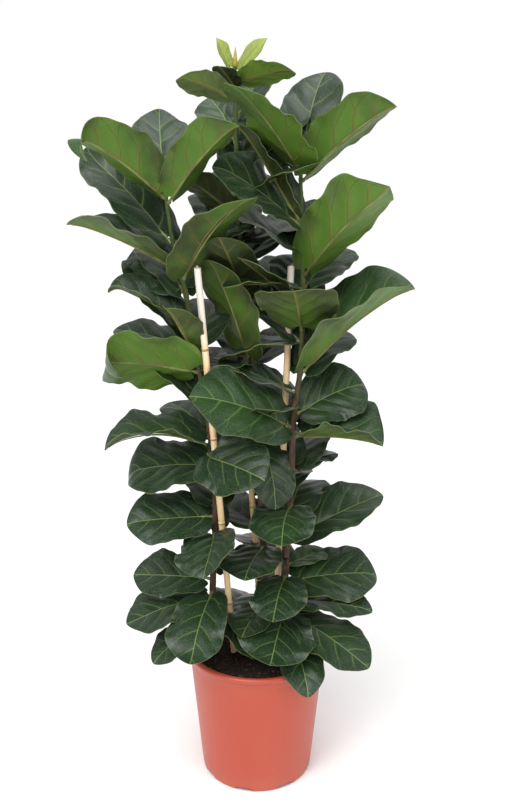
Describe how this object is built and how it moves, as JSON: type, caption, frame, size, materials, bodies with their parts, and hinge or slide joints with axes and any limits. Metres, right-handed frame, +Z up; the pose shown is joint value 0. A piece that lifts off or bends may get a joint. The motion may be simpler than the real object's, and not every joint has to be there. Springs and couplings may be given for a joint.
{
  "type": "potted fiddle leaf fig",
  "caption": "Tall potted fig with broad violin-shaped leaves on woody stems tied to bamboo canes, planted in soil in a tapered round pot with a rolled rim.",
  "frame": {"origin": "middle of the pot's flat underside, on the pot's axis", "axes": "+Z up along the pot's axis; -Y towards the plant's front; +X to the right seen from the front"},
  "size_m": [0.5749, 0.3693, 1.3493],
  "materials": {
    "leaf": "waxy deep green upper face with pale veins, lighter green underside",
    "young_leaf": "soft yellow-green new leaf",
    "stem": "rough dark red-brown bark, greener towards the tip",
    "cane": "smooth tan bamboo with knots",
    "tie": "matt black",
    "soil": "crumbly dark peat",
    "pot": "satin terracotta-coloured plastic"
  },
  "bodies": {
    "root": {"cane_back": "cane", "cane_left": "cane", "cane_right": "cane", "leaf_back_01": "young_leaf", "leaf_back_02": "young_leaf", "leaf_back_03": "leaf", "leaf_back_04": "leaf", "leaf_back_05": "leaf", "leaf_back_06": "leaf", "leaf_back_07": "leaf", "leaf_back_08": "leaf", "leaf_back_09": "leaf", "leaf_back_10": "leaf", "leaf_left_01": "leaf", "leaf_left_02": "leaf", "leaf_left_03": "leaf", "leaf_left_04": "leaf", "leaf_left_05": "leaf", "leaf_left_06": "leaf", "leaf_left_07": "leaf", "leaf_left_08": "leaf", "leaf_left_09": "leaf", "leaf_left_10": "leaf", "leaf_left_11": "leaf", "leaf_left_12": "leaf", "leaf_left_13": "leaf", "leaf_left_14": "leaf", "leaf_left_15": "leaf", "leaf_left_16": "leaf", "leaf_left_17": "leaf", "leaf_left_18": "leaf", "leaf_left_19": "leaf", "leaf_right_01": "leaf", "leaf_right_02": "leaf", "leaf_right_03": "leaf", "leaf_right_04": "leaf", "leaf_right_05": "leaf", "leaf_right_06": "leaf", "leaf_right_07": "leaf", "leaf_right_08": "leaf", "leaf_right_09": "leaf", "leaf_right_10": "leaf", "leaf_right_11": "leaf", "leaf_right_12": "leaf", "leaf_right_13": "leaf", "leaf_right_14": "leaf", "leaf_right_15": "leaf", "leaf_right_16": "leaf", "leaf_right_17": "leaf", "leaf_right_18": "leaf", "leaf_right_19": "leaf", "leaf_right_20": "leaf", "leaf_right_21": "leaf", "pot": "pot", "soil": "soil", "stem_back": "stem", "stem_left": "stem", "stem_right": "stem", "tie_left": "tie", "tie_right": "tie"}
  },
  "joints": []
}
